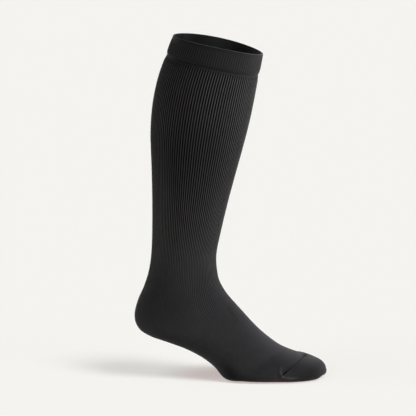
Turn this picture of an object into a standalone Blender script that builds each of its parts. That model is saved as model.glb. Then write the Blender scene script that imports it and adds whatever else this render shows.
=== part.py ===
"""A knee-high compression stocking, filled out with no wearer and raised at the heel, toes towards +X.

The garment is one knitted tube. Sections are laid across it from the rim, down the leg, round the heel
and along the foot. Each section joins a point on the back or sole line to a point on the front or instep
line, and the wall runs through rings on those sections. The pieces are the turned welt, the ribbed leg,
the foot with its heel, and the toe pocket.
"""

from collections import namedtuple

import bpy
import numpy as np

MM = 0.001

# Cloth sizes, in millimetres.
LEG_WALL = 1.9
FOOT_WALL = 1.4
PIECE_GAP = 0.45
FLOOR = 0.0

# Ribs all round the leg, and their depth as a share of their pitch.
RIBS = 112
RIB_RELIEF = 0.22

# Points round the outer wall of each piece. The plain inside has half as many. The foot and the toe have
# a ring at every FOOT_STEP of a row of the table.
LEG_POINTS = 2 * RIBS
WELT_POINTS = 84
FOOT_POINTS = 56
FOOT_STEP = 0.5

# Toe seam, in millimetres: both edges roll in along the top, and an ear stands up at each end. The ear
# is EAR_LEVEL above the floor, and EAR_REACH is how far it spreads up and down the side.
SEAM_ROLL = 0.8
EAR_HEIGHT = 1.8
EAR_REACH = 4.0
EAR_LEVEL = 8.0

# The closed end of the toe stands this far ahead of its last ring.
TIP_REACH = 2.6

# Edges that turn by more degrees than this are shaded sharp, which keeps the ribs crisp.
SHARP_ANGLE = 30.0

# Finish of each knit: colour as red, green and blue, and roughness.
BAND_KNIT = ((0.019, 0.019, 0.020), 0.80)
RIBBED_KNIT = ((0.022, 0.022, 0.023), 0.85)
PLAIN_KNIT = ((0.022, 0.022, 0.023), 0.80)

# The sections, in millimetres, forwards from a mark near the middle of the opening and up from the floor.
# widest is how far along the section its widest place is. back_full and front_full are 2 for an
# ellipse and more for a fuller curve. side_rise lifts the two sides above the line between the ends.
Section = namedtuple("Section", "back_x back_z front_x front_z width widest back_full front_full side_rise")
SECTIONS = {
    "rim":         Section(-53.4, 422.4, 54.3, 400.0, 106.0, 0.50, 2.0, 2.0, 2.2),
    "welt_foot":   Section(-62.3, 400.2, 49.8, 375.2, 109.0, 0.50, 2.0, 2.0, 1.5),
    "calf_top":    Section(-72.4, 372.0, 45.3, 350.0, 112.0, 0.49, 2.0, 2.0, 0.8),
    "calf_full":   Section(-79.2, 340.0, 39.5, 321.0, 112.5, 0.48, 2.0, 2.0, 0.0),
    "calf_low":    Section(-82.0, 304.0, 31.6, 289.0, 108.0, 0.48, 2.0, 2.0, 0.0),
    "shin_top":    Section(-80.9, 264.0, 21.5, 252.0, 98.0, 0.48, 2.0, 2.0, 0.0),
    "shin_mid":    Section(-80.1, 224.0, 12.0, 216.0, 86.0, 0.50, 2.0, 2.0, 0.0),
    "shin_low":    Section(-80.2, 186.0, 4.0, 182.0, 73.0, 0.51, 2.0, 2.0, 0.0),
    "ankle_thin":  Section(-81.3, 155.0, -1.6, 153.0, 65.0, 0.52, 2.0, 2.0, 0.0),
    "ankle_low":   Section(-84.6, 132.0, -0.4, 130.0, 64.0, 0.53, 2.0, 2.0, 0.0),
    "heel_top":    Section(-91.0, 112.0, 3.4, 117.0, 66.0, 0.52, 2.1, 2.0, 0.0),
    "heel_back":   Section(-98.3, 95.0, 11.6, 103.5, 67.0, 0.50, 2.2, 2.0, 0.0),
    "heel_full":   Section(-102.1, 76.5, 22.2, 91.0, 67.5, 0.46, 2.4, 2.0, 0.0),
    "heel_corner": Section(-97.3, 62.0, 31.7, 80.5, 67.0, 0.42, 2.5, 2.0, 0.0),
    "heel_sole":   Section(-84.0, 53.0, 40.1, 71.0, 66.5, 0.39, 2.6, 2.0, 0.0),
    "arch_back":   Section(-62.0, 45.4, 48.1, 62.5, 68.0, 0.37, 2.6, 2.0, 0.0),
    "arch":        Section(-40.0, 37.3, 56.1, 55.0, 72.0, 0.36, 2.6, 2.0, 0.0),
    "arch_front":  Section(-20.0, 26.7, 63.6, 48.8, 77.0, 0.35, 2.5, 2.0, 0.0),
    "ball_back":   Section(-5.0, 15.0, 71.6, 42.6, 82.0, 0.34, 2.5, 2.1, 0.0),
    "ball_edge":   Section(8.4, 0.6, 79.6, 37.7, 86.0, 0.34, 2.6, 2.1, 0.0),
    "ball":        Section(28.0, -1.2, 89.6, 33.0, 88.5, 0.34, 2.8, 2.2, 0.0),
    "toe_root":    Section(49.0, -1.5, 99.6, 29.4, 88.0, 0.34, 3.1, 2.2, 0.0),
    "seam":        Section(69.0, -1.7, 110.5, 26.8, 84.5, 0.35, 3.1, 2.3, 0.0),
    "toes":        Section(89.0, -1.9, 120.6, 22.7, 78.0, 0.36, 3.1, 2.3, 0.0),
    "toe_round":   Section(106.5, -1.7, 128.0, 18.9, 66.5, 0.37, 2.9, 2.2, 0.0),
    "toe_front":   Section(119.5, -0.8, 132.2, 14.2, 49.0, 0.41, 2.6, 2.1, 0.0),
    "toe_tip":     Section(127.5, 2.4, 133.4, 9.8, 25.0, 0.48, 2.2, 2.0, 0.0),
}
PLACE = {name: place for place, name in enumerate(SECTIONS)}
MEASURES = np.array(list(SECTIONS.values()))
LAST_PLACE = len(SECTIONS) - 1

# The part's origin is the middle of the opening.
RIM = SECTIONS["rim"]
OPENING_X = 0.5 * (RIM.back_x + RIM.front_x)
OPENING_Z = 0.5 * (RIM.back_z + RIM.front_z)

# Steps round a section's curve before it is divided evenly, and the step along the table for slopes.
CURVE_STEPS = 720
SLOPE_STEP = 0.02

# The band's wall, from the fold's crown down the outside and up the inside. Each row is how far below
# the rim, as a share of the band's height, and how far out from the leg's surface.
WELT_OUTSIDE = (
    (0.000, -0.50),
    (0.012, 0.15),
    (0.045, 0.50),
    (0.200, 0.65),
    (0.550, 0.75),
    (0.880, 0.65),
    (0.965, 0.30),
    (1.000, -0.50),
)
WELT_INSIDE = (
    (1.000, -1.60),
    (0.550, -1.60),
    (0.045, -1.55),
    (0.012, -1.20),
)

# The leg is drawn in under the band: how far below it, and how far in.
LEG_NECK = (
    (0.0, 1.1),
    (3.0, 0.7),
    (8.0, 0.0),
)
# The foot's and the toe's rings beside the seam: distance from it, and the shares of the roll and the ear.
SEAM_EDGE = (
    (0.0, 1.0, 1.0),
    (0.8, 0.4, 0.8),
    (2.4, 0.0, 0.3),
    (6.0, 0.0, 0.0),
)


def clear_scene():
    for old in list(bpy.data.objects):
        bpy.data.objects.remove(old, do_unlink=True)


def section_at(place):
    """The section between two rows of the table, on a smooth curve through the rows."""
    row = min(int(place), LAST_PLACE - 1)
    share = place - row
    before, start, end, after = (MEASURES[min(max(row + step, 0), LAST_PLACE)] for step in (-1, 0, 1, 2))
    slope_in = 0.5 * (end - before)
    slope_out = 0.5 * (after - start)
    rise = end - start
    bend = 3.0 * rise - 2.0 * slope_in - slope_out
    twist = slope_in + slope_out - 2.0 * rise
    return Section(*(start + share * (slope_in + share * (bend + share * twist))))


def plain_ring(place, count):
    """Points at even steps round the section, from the back or sole, by the far side, to the front."""
    section = section_at(place)
    turn = np.linspace(0.0, 2.0 * np.pi, CURVE_STEPS + 1)
    toward_back = np.cos(turn) > 0.0
    power = np.where(toward_back, 2.0 / section.back_full, 2.0 / section.front_full)
    reach = np.where(toward_back, -section.widest, 1.0 - section.widest)
    along = section.widest + reach * np.abs(np.cos(turn)) ** power
    side = np.sign(np.sin(turn)) * np.abs(np.sin(turn)) ** power
    x = section.back_x + (section.front_x - section.back_x) * along
    y = 0.5 * section.width * side
    z = section.back_z + (section.front_z - section.back_z) * along + section.side_rise * side ** 2
    line = np.column_stack((x, y, np.maximum(z, FLOOR)))
    travel = np.concatenate(([0.0], np.cumsum(np.linalg.norm(np.diff(line, axis=0), axis=1))))
    steps = travel[-1] * np.arange(count) / count
    return np.column_stack([np.interp(steps, travel, line[:, axis]) for axis in range(3)])


def outward(place, count):
    """Unit directions out of the wall at the ring's points."""
    first = max(place - SLOPE_STEP, 0.0)
    last = min(place + SLOPE_STEP, float(LAST_PLACE))
    down = plain_ring(last, count) - plain_ring(first, count)
    points = plain_ring(place, count)
    round_way = np.roll(points, -1, axis=0) - np.roll(points, 1, axis=0)
    normal = np.cross(round_way, down)
    return normal / np.linalg.norm(normal, axis=1)[:, None]


def ring(place, count, out):
    """The section's points moved out of the wall. out is one distance, or one for each point."""
    distance = np.broadcast_to(out, (count,))[:, None]
    return plain_ring(place, count) + outward(place, count) * distance


def place_after(place, distance):
    """The place on the table that is this far down the tube, measured where it moves on the least."""
    travel = plain_ring(place + SLOPE_STEP, FOOT_POINTS) - plain_ring(place, FOOT_POINTS)
    return place + distance * SLOPE_STEP / np.linalg.norm(travel, axis=1).min()


def bridge(faces, a, b):
    """Faces between two rings of point numbers, which are equal, two to one, or one point."""
    count = max(len(a), len(b))
    if len(a) == 1:
        faces.extend((a[0], b[(k + 1) % count], b[k]) for k in range(count))
    elif len(b) == 1:
        faces.extend((a[k], a[(k + 1) % count], b[0]) for k in range(count))
    elif len(a) == len(b):
        for k in range(count):
            after = (k + 1) % count
            faces.append((a[k], a[after], b[after], b[k]))
    elif len(a) == 2 * len(b):
        for k in range(len(b)):
            after = (k + 1) % len(b)
            faces.append((a[2 * k], a[2 * k + 1], b[k]))
            faces.append((a[2 * k + 1], a[2 * after], b[after], b[k]))
    else:
        for k in range(len(a)):
            after = (k + 1) % len(a)
            faces.append((a[k], b[2 * k + 1], b[2 * k]))
            faces.append((a[k], a[after], b[2 * after], b[2 * k + 1]))


def cloth_wall(name, outside, inside, finish):
    """One closed wall through the outside rings and then the inside rings, back to the start."""
    rings = list(outside) + list(inside)
    points = np.vstack(rings) * MM
    numbers = []
    start = 0
    for one in rings:
        numbers.append(list(range(start, start + len(one))))
        start += len(one)
    faces = []
    for k, a in enumerate(numbers):
        b = numbers[(k + 1) % len(numbers)]
        if len(a) > 1 or len(b) > 1:
            bridge(faces, a, b)
    mesh = bpy.data.meshes.new(name)
    mesh.from_pydata(points.tolist(), [], faces)
    mesh.shade_smooth()
    mesh.set_sharp_from_angle(angle=np.radians(SHARP_ANGLE))
    mesh.materials.append(knit_material(name + "_knit", finish))
    piece = bpy.data.objects.new(name, mesh)
    bpy.context.collection.objects.link(piece)
    return piece


def knit_material(name, finish):
    colour, roughness = finish
    material = bpy.data.materials.new(name)
    material.use_nodes = True
    shader = material.node_tree.nodes["Principled BSDF"]
    shader.inputs["Base Color"].default_value = (*colour, 1.0)
    shader.inputs["Roughness"].default_value = roughness
    shader.inputs["Metallic"].default_value = 0.0
    return material


def make_welt():
    """The turned band: a rounded fold at the rim and a double wall, slightly proud of the leg."""
    outside = [ring(down * PLACE["welt_foot"], WELT_POINTS, out) for down, out in WELT_OUTSIDE]
    inside = [ring(down * PLACE["welt_foot"], WELT_POINTS // 2, out) for down, out in WELT_INSIDE]
    return cloth_wall("welt", outside, inside, BAND_KNIT)


def rib_depth(place):
    """The depth of the grooves on a ring, from the pitch of the ribs there."""
    around = plain_ring(place, RIBS)
    pitch = np.linalg.norm(np.roll(around, -1, axis=0) - around, axis=1).mean()
    return RIB_RELIEF * pitch


def make_leg():
    """The ribbed tube: every second outer point is a groove, and the inside is plain."""
    top = place_after(PLACE["welt_foot"], PIECE_GAP)
    rows = [(place_after(top, below), drawn_in) for below, drawn_in in LEG_NECK]
    rows += [(float(place), 0.0) for place in range(PLACE["calf_top"], PLACE["heel_top"] + 1)]
    groove = np.arange(LEG_POINTS) % 2
    outside = [ring(place, LEG_POINTS, -drawn_in - rib_depth(place) * groove) for place, drawn_in in rows]
    inside = [ring(place, LEG_POINTS // 2, -drawn_in - LEG_WALL) for place, drawn_in in reversed(rows)]
    return cloth_wall("leg", outside, inside, RIBBED_KNIT)


def seam_move(points, roll_share, ear_share):
    """How far the outer points move at the toe seam: in along the top, and out at the two ears."""
    above_ear = (points[:, 2] - EAR_LEVEL) / EAR_REACH
    side = np.abs(points[:, 1])
    on_side = side > 0.5 * side.max()
    roll = SEAM_ROLL * roll_share * np.clip(above_ear, 0.0, 1.0)
    ear = EAR_HEIGHT * ear_share * np.exp(-above_ear ** 2) * on_side
    return ear - roll


def seam_rows(way):
    """Rings beside the toe seam with their outer points' moves. way is -1 on the foot and 1 on the toe."""
    seam = float(PLACE["seam"])
    rows = []
    for distance, roll_share, ear_share in SEAM_EDGE:
        place = seam + way * (place_after(seam, distance + 0.5 * PIECE_GAP) - seam)
        rows.append((place, seam_move(plain_ring(place, FOOT_POINTS), roll_share, ear_share)))
    return rows


def plain_rows(first, last):
    """Rings from one place on the table up to but not counting the other, with no moves."""
    return [(place, np.zeros(FOOT_POINTS)) for place in np.arange(first, last, FOOT_STEP)]


def foot_rings(rows):
    """The outer rings of a piece of the foot, and its inner ones in reverse, which roll in with them."""
    outside = [ring(place, FOOT_POINTS, move) for place, move in rows]
    drawn_in = [(place, np.minimum(move[::2], 0.0) - FOOT_WALL) for place, move in reversed(rows)]
    inside = [ring(place, FOOT_POINTS // 2, move) for place, move in drawn_in]
    return outside, inside


def make_foot():
    """The heel pocket, sole and instep, from the ankle to the toe seam."""
    rows = [(place_after(PLACE["heel_top"], PIECE_GAP), np.zeros(FOOT_POINTS))]
    rows += plain_rows(PLACE["heel_top"] + FOOT_STEP, PLACE["seam"] - FOOT_STEP)
    rows += reversed(seam_rows(-1))
    outside, inside = foot_rings(rows)
    return cloth_wall("foot", outside, inside, PLAIN_KNIT)


def make_toe():
    """The toe pocket, closed at its tip by one point outside and one inside."""
    rows = seam_rows(1) + plain_rows(PLACE["toes"], LAST_PLACE + FOOT_STEP)
    outside, inside = foot_rings(rows)
    forwards = outward(LAST_PLACE, FOOT_POINTS).mean(axis=0)
    forwards /= np.linalg.norm(forwards)
    tip = outside[-1].mean(axis=0) + TIP_REACH * forwards
    outside.append(tip[None, :])
    inside.insert(0, (tip - FOOT_WALL * forwards)[None, :])
    return cloth_wall("toe", outside, inside, PLAIN_KNIT)


def main():
    clear_scene()
    opening = bpy.data.objects.new("opening", None)
    bpy.context.collection.objects.link(opening)
    for piece in (make_welt(), make_leg(), make_foot(), make_toe()):
        piece.parent = opening
        piece.location = (-OPENING_X * MM, 0.0, -OPENING_Z * MM)


main()
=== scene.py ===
# %% [markdown]
# # A knee-high compression stocking
#
# The stocking is one tube of nylon and elastane, knitted on a circular machine: a turned band at the
# top, a ribbed leg, a plain foot and a toe pocket closed by a linked seam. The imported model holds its
# plain shells. This lesson dresses them: finer cloth with real ribs, a rolled band, a seam with its
# stitches, soft creases, and knit finishes with the light to show them.

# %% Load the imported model
import math
from collections import namedtuple

import bpy
import numpy as np
from mathutils import Matrix, Vector


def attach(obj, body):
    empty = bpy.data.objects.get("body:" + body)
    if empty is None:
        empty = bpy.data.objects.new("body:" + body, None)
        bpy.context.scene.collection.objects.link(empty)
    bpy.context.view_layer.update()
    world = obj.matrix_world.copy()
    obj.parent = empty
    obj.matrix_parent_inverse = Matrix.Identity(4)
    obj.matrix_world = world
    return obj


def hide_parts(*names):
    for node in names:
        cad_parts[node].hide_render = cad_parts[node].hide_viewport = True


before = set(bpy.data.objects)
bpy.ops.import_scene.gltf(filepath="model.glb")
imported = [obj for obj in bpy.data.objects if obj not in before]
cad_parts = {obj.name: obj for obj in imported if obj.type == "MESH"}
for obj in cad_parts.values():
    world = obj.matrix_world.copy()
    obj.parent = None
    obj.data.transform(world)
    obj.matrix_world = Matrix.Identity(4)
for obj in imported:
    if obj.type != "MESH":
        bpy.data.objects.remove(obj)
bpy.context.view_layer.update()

MM = 0.001

# %% [markdown]
# ## The cut of the tube
#
# Knitwear has no flat pattern pieces, so its shape is a row of girths along the tube. Each row below is
# one slanting section, from a point on the back or sole line to a point on the front or instep line, in
# millimetres. It says how wide the section is, and at which share of the way forwards it is widest. Full
# is how square each half of it is, where 2 is an ellipse, and side_rise is how far its sides are lifted.
# Lofting one sheet through such sections is how a knitter thinks of it, and it keeps the cloth on the
# same form as the solids. Sculpting a cylinder would lose the even run of the ribs.

# %% The sections, in millimetres
Section = namedtuple("Section", "back_x back_z front_x front_z width widest back_full front_full side_rise")
SECTIONS = {
    "rim":         Section(-53.4, 422.4, 54.3, 400.0, 106.0, 0.50, 2.0, 2.0, 2.2),
    "welt_foot":   Section(-62.3, 400.2, 49.8, 375.2, 109.0, 0.50, 2.0, 2.0, 1.5),
    "calf_top":    Section(-72.4, 372.0, 45.3, 350.0, 112.0, 0.49, 2.0, 2.0, 0.8),
    "calf_full":   Section(-79.2, 340.0, 39.5, 321.0, 112.5, 0.48, 2.0, 2.0, 0.0),
    "calf_low":    Section(-82.0, 304.0, 31.6, 289.0, 108.0, 0.48, 2.0, 2.0, 0.0),
    "shin_top":    Section(-80.9, 264.0, 21.5, 252.0, 98.0, 0.48, 2.0, 2.0, 0.0),
    "shin_mid":    Section(-80.1, 224.0, 12.0, 216.0, 86.0, 0.50, 2.0, 2.0, 0.0),
    "shin_low":    Section(-80.2, 186.0, 4.0, 182.0, 73.0, 0.51, 2.0, 2.0, 0.0),
    "ankle_thin":  Section(-81.3, 155.0, -1.6, 153.0, 65.0, 0.52, 2.0, 2.0, 0.0),
    "ankle_low":   Section(-84.6, 132.0, -0.4, 130.0, 64.0, 0.53, 2.0, 2.0, 0.0),
    "heel_top":    Section(-91.0, 112.0, 3.4, 117.0, 66.0, 0.52, 2.1, 2.0, 0.0),
    "heel_back":   Section(-98.3, 95.0, 11.6, 103.5, 67.0, 0.50, 2.2, 2.0, 0.0),
    "heel_full":   Section(-102.1, 76.5, 22.2, 91.0, 67.5, 0.46, 2.4, 2.0, 0.0),
    "heel_corner": Section(-97.3, 62.0, 31.7, 80.5, 67.0, 0.42, 2.5, 2.0, 0.0),
    "heel_sole":   Section(-84.0, 53.0, 40.1, 71.0, 66.5, 0.39, 2.6, 2.0, 0.0),
    "arch_back":   Section(-62.0, 45.4, 48.1, 62.5, 68.0, 0.37, 2.6, 2.0, 0.0),
    "arch":        Section(-40.0, 37.3, 56.1, 55.0, 72.0, 0.36, 2.6, 2.0, 0.0),
    "arch_front":  Section(-20.0, 26.7, 63.6, 48.8, 77.0, 0.35, 2.5, 2.0, 0.0),
    "ball_back":   Section(-5.0, 15.0, 71.6, 42.6, 82.0, 0.34, 2.5, 2.1, 0.0),
    "ball_edge":   Section(8.4, 0.6, 79.6, 37.7, 86.0, 0.34, 2.6, 2.1, 0.0),
    "ball":        Section(28.0, -1.2, 89.6, 33.0, 88.5, 0.34, 2.8, 2.2, 0.0),
    "toe_root":    Section(49.0, -1.5, 99.6, 29.4, 88.0, 0.34, 3.1, 2.2, 0.0),
    "seam":        Section(69.0, -1.7, 110.5, 26.8, 84.5, 0.35, 3.1, 2.3, 0.0),
    "toes":        Section(89.0, -1.9, 120.6, 22.7, 78.0, 0.36, 3.1, 2.3, 0.0),
    "toe_round":   Section(106.5, -1.7, 128.0, 18.9, 66.5, 0.37, 2.9, 2.2, 0.0),
    "toe_front":   Section(119.5, -0.8, 132.2, 14.2, 49.0, 0.41, 2.6, 2.1, 0.0),
    "toe_tip":     Section(127.5, 2.4, 133.4, 9.8, 25.0, 0.48, 2.2, 2.0, 0.0),
}
PLACE = {name: place for place, name in enumerate(SECTIONS)}
MEASURES = np.array(list(SECTIONS.values()))
LAST_PLACE = len(SECTIONS) - 1

# The part's origin is the middle of the opening, and z in the table is height above the floor.
RIM = SECTIONS["rim"]
OPENING = np.array([0.5 * (RIM.back_x + RIM.front_x), 0.0, 0.5 * (RIM.back_z + RIM.front_z)])
FLOOR_Z = -OPENING[2] * MM
print(len(SECTIONS), "sections, the floor is at", round(FLOOR_Z, 4))

# %% [markdown]
# ## From sections to a net of points
#
# A smooth curve runs through the rows of the table, and each section is walked round in even steps of
# girth, starting at the middle of the back and going by the far side. Even steps matter: on the real
# stocking every rib keeps its place from the band to the ankle, and only its pitch narrows.

# %% Read the table between its rows
def section_at(place):
    """The section between two rows of the table, on a smooth curve through the rows."""
    row = min(int(place), LAST_PLACE - 1)
    share = place - row
    before, start, end, after = (MEASURES[min(max(row + step, 0), LAST_PLACE)] for step in (-1, 0, 1, 2))
    slope_in = 0.5 * (end - before)
    slope_out = 0.5 * (after - start)
    rise = end - start
    bend = 3.0 * rise - 2.0 * slope_in - slope_out
    twist = slope_in + slope_out - 2.0 * rise
    return Section(*(start + share * (slope_in + share * (bend + share * twist))))


print("half way down the calf the tube is", round(section_at(3.5).width, 1), "mm wide")

# %% Walk round one section
CURVE_STEPS = 4000        # points on the curve that the girth is measured along


def girth_line(place, count):
    """Points at even steps round the section, from the back or sole, by the far side, to the front."""
    section = section_at(place)
    turn = np.linspace(0.0, 2.0 * np.pi, CURVE_STEPS + 1)
    toward_back = np.cos(turn) > 0.0
    power = np.where(toward_back, 2.0 / section.back_full, 2.0 / section.front_full)
    reach = np.where(toward_back, -section.widest, 1.0 - section.widest)
    along = section.widest + reach * np.abs(np.cos(turn)) ** power
    side = np.sign(np.sin(turn)) * np.abs(np.sin(turn)) ** power
    x = section.back_x + (section.front_x - section.back_x) * along
    y = 0.5 * section.width * side
    z = section.back_z + (section.front_z - section.back_z) * along + section.side_rise * side ** 2
    line = np.column_stack((x, y, np.maximum(z, 0.0)))
    travel = np.concatenate(([0.0], np.cumsum(np.linalg.norm(np.diff(line, axis=0), axis=1))))
    steps = travel[-1] * np.arange(count) / count
    return np.column_stack([np.interp(steps, travel, line[:, axis]) for axis in range(3)])


for name in ("rim", "calf_full", "ankle_thin", "ball"):
    ring = girth_line(PLACE[name], 400)
    girth = np.linalg.norm(np.roll(ring, -1, axis=0) - ring, axis=1).sum()
    print(name, "girth", round(girth), "mm")

# %% Points and directions for many sections
SLOPE_STEP = 0.02         # how far along the table to look for the way down the tube


def net(places, count):
    """The plain surface: points, and directions out of the cloth, for each place and each step round."""
    points, normals = [], []
    for place in places:
        ring = girth_line(place, count)
        first, last = max(place - SLOPE_STEP, 0.0), min(place + SLOPE_STEP, float(LAST_PLACE))
        down = girth_line(last, count) - girth_line(first, count)
        round_way = np.roll(ring, -1, axis=0) - np.roll(ring, 1, axis=0)
        normal = np.cross(round_way, down)
        points.append(ring)
        normals.append(normal / np.linalg.norm(normal, axis=1)[:, None])
    return np.array(points), np.array(normals)


print("eight points of the rim face", np.round(net([0.0], 8)[1][0, :, 1], 1), "to the side")

# %% [markdown]
# ## Where the rows of the net lie
#
# Rows are far apart where the tube runs plainly and crowded where something happens within a few
# millimetres: the neck under the band and the two sides of the toe seam. That spends the mesh on the
# places that an eye goes to, and it keeps each piece under 200,000 triangles.

# %% From millimetres down the tube to places on the table
RIBS = 112                # round the leg
WELT_FOOT, LEG_END, BALL, SEAM = (float(PLACE[name]) for name in ("welt_foot", "heel_top", "ball", "seam"))


def place_after(place, distance):
    """The place on the table this far down the tube, measured where it moves on the least."""
    way = girth_line(place + SLOPE_STEP, RIBS // 2) - girth_line(place, RIBS // 2)
    return place + distance * SLOPE_STEP / np.linalg.norm(way, axis=1).min()


seam_way = place_after(SEAM, 1.0) - SEAM
print("a millimetre at the seam is", round(seam_way, 3), "of a row of the table")

# %% Rows for the tube, from under the band to the tip of the toe
NECK_ROWS = (0.0, 0.5, 1.2, 2.0, 3.0, 4.2, 5.6, 7.2, 9.0, 11.5, 14.5, 18.0)     # millimetres under the band
SEAM_ROWS = (0.0, 0.25, 0.55, 0.9, 1.3, 1.8, 2.4, 3.1, 4.0, 5.1, 6.5)          # and to each side of the seam
SEAM_ROOM = 7.0           # millimetres before the seam that are left to its own rows
NECK_END = 1.75           # the place where the even rows start
EVEN_STEP, BALL_STEP, TOE_STEP = 0.125, 0.1, 0.14

leg_places = [place_after(WELT_FOOT, distance) for distance in NECK_ROWS]
leg_places += list(np.arange(NECK_END, LEG_END, EVEN_STEP))
foot_places = list(np.arange(LEG_END, BALL, EVEN_STEP))
foot_places += list(np.arange(BALL, SEAM - SEAM_ROOM * seam_way, BALL_STEP))
foot_places += [SEAM - distance * seam_way for distance in reversed(SEAM_ROWS)]
toe_places = [SEAM + distance * seam_way for distance in SEAM_ROWS[1:]]
toe_places += list(np.arange(toe_places[-1] + TOE_STEP, LAST_PLACE, TOE_STEP)) + [float(LAST_PLACE)]
PLACES = np.array(leg_places + foot_places + toe_places)
LEG_ROWS = len(leg_places) + 1                      # the leg ends on the foot's first row
SEAM_ROW = len(leg_places) + len(foot_places) - 1   # the foot ends and the toe starts on this row
print("rows", len(PLACES), "leg to", LEG_ROWS, "seam at", SEAM_ROW)

# %% The plain surface of the tube
ROUND = 8 * RIBS          # eight points a rib
plain, outwards = net(PLACES, ROUND)
around = np.arange(ROUND) / ROUND
from_sole = np.minimum(around, 1.0 - around)        # 0 at the back or sole, 0.5 in front
pitch = np.linalg.norm(np.roll(plain, -1, axis=1) - plain, axis=2).sum(axis=1) / RIBS
print("a rib is", round(pitch.max(), 2), "mm wide at the calf and", round(pitch[LEG_ROWS], 2), "at the ankle")

# %% [markdown]
# ## The bow of the toe seam
#
# The section at the seam is flat, but the real seam isn't: it is pulled back along both sides of the
# foot, by up to a centimetre, and less over the toes. The rows near it are slid along their own wales
# to follow, so the form stays as it was and only the line on it bends. Two soft curves shape this and
# much that follows: a step that rises as an even S, and a bell.

# %% Two soft curves
def smooth_step(value, start, end):
    """0 before start, 1 after end, and an even S between them."""
    share = np.clip((value - start) / (end - start), 0.0, 1.0)
    return share * share * (3.0 - 2.0 * share)


def bell(distance, width):
    """1 in the middle, and about a third at the width to each side."""
    return np.exp(-(distance / width) ** 2)


def down_each_wale(points):
    """Millimetres down each wale of a net, from its first row."""
    run = np.linalg.norm(np.diff(points, axis=0), axis=2)
    return np.vstack((np.zeros((1, points.shape[1])), np.cumsum(run, axis=0)))


print("a step half way is", smooth_step(0.5, 0.0, 1.0), "and a bell at its width", round(bell(1.0, 1.0), 2))

# %% Slide the rows beside the seam
SEAM_BOW = 9.8            # millimetres at the sides
BOW_SIDE = (0.11, 0.30)   # it sets in over this stretch of the girth, counted from the sole
BOW_TOP = (0.30, 0.56)    # and is lost again over this one
BOW_LOST = 0.88           # the share of it that is lost over the toes
BOW_FOOT = (3.0, 42.0)    # millimetres behind the seam over which the slide dies out
BOW_TOE = (0.10, 0.92)    # the same ahead of it, as shares of the toe's length

travel = down_each_wale(plain)
bow = SEAM_BOW * smooth_step(from_sole, *BOW_SIDE) * (1.0 - BOW_LOST * smooth_step(from_sole, *BOW_TOP))
past = travel - travel[SEAM_ROW]
slide_toe = 1.0 - smooth_step(past / past[-1], *BOW_TOE)
slide_foot = 1.0 - smooth_step(-past, *BOW_FOOT)
slid = travel - bow * np.where(past > 0.0, slide_toe, slide_foot)
for column in range(ROUND):
    for net_points in (plain, outwards):
        net_points[:, column] = np.column_stack([
            np.interp(slid[:, column], travel[:, column], net_points[:, column, axis]) for axis in range(3)
        ])
outwards /= np.linalg.norm(outwards, axis=2)[:, :, None]
print("the seam bows", round(bow.max(), 1), "mm at the sides,", round(bow[ROUND // 2], 1), "over the toes")

# %% [markdown]
# ## The ribs
#
# A rib is a few columns of plain stitches standing over columns of reversed ones. It is deepest where
# the tube is held least and flattens over the ankle. On the foot the rib runs on along the instep only
# as a shadow of itself, and the sole and heel pocket are plain. Real geometry is used and not a bump
# map, so that the ribs also shade each other and break the outline of the hidden sides truly.

# %% Depth of the ribs at each point
RIB_RELIEF = 0.22         # depth as a share of the pitch
RIB_NARROW = 0.9          # above 1 the grooves are narrower than the ribs
RIB_START = 5.0           # millimetres over which they rise from the smooth neck
RIB_FOOT = 0.20           # what is left of them on the instep
ANKLE_FADE = (7.5, 12.5)  # the places on the table over which they flatten
FOOT_FROM = (9.0, 12.0)   # the places over which the sole and the heel pocket turn plain
INSTEP_SIDE = (0.14, 0.24)              # where the instep starts, from the sole round
BEFORE_SEAM = (SEAM - 1.2, SEAM - 0.2)  # the places over which the last of the ribs die out

groove = (0.5 - 0.5 * np.cos(2.0 * np.pi * RIBS * around)) ** RIB_NARROW
along = down_each_wale(plain)
fade = 1.0 - (1.0 - RIB_FOOT) * smooth_step(PLACES, *ANKLE_FADE)
on_foot = smooth_step(PLACES, *FOOT_FROM)[:, None]
on_cloth = (1.0 - on_foot) + on_foot * smooth_step(from_sole, *INSTEP_SIDE)
rib_share = fade[:, None] * on_cloth * smooth_step(along, 0.0, RIB_START)
rib_share *= 1.0 - smooth_step(PLACES, *BEFORE_SEAM)[:, None]
rib_move = -RIB_RELIEF * pitch[:, None] * groove * rib_share
print("the deepest groove is", round(-rib_move.min(), 2), "mm")

# %% [markdown]
# ## The neck and the toe seam
#
# Under the band the single cloth is drawn in, a little more at the calf than at the shin. At the toe the
# two edges are linked loop to loop, so the cloth dips into a groove with a soft lip on each side. The
# groove runs over the toes only. At each end the spare cloth puckers into a small ear, and near the
# middle of the toes, where the last loops were bound off, there is a small knob with a notch beside it.

# %% The drawn-in neck
NECK_BACK, NECK_FRONT = 1.10, 0.80      # how far it is drawn in
NECK_LENGTH = 10.0
CALF_DEPTH = 110.0        # millimetres from the back to the front of the calf

forwards = np.clip(0.5 + plain[:, :, 0] / CALF_DEPTH, 0.0, 1.0)
neck_in = NECK_BACK + (NECK_FRONT - NECK_BACK) * forwards
neck_move = -neck_in * (1.0 - smooth_step(along, 0.0, NECK_LENGTH))
print("the neck is drawn in by up to", round(-neck_move.min(), 2), "mm")

# %% The groove and the lips of the seam
SEAM_DEPTH, SEAM_WIDTH = 0.70, 0.80
END_DEEPER = 1.2          # the groove is this much deeper again at its two ends
FOOT_LIP, TOE_LIP = 0.425, 0.272        # heights of the two lips
LIP_AT, LIP_WIDTH = 1.9, 1.0            # how far from the seam they stand
EAR_LEVEL, EAR_REACH = 11.0, 3.0        # height of the ears above the floor, and half their own height
GROOVE_SETS_IN = (-0.3, 0.5)            # over these heights, in EAR_REACH above EAR_LEVEL

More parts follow.
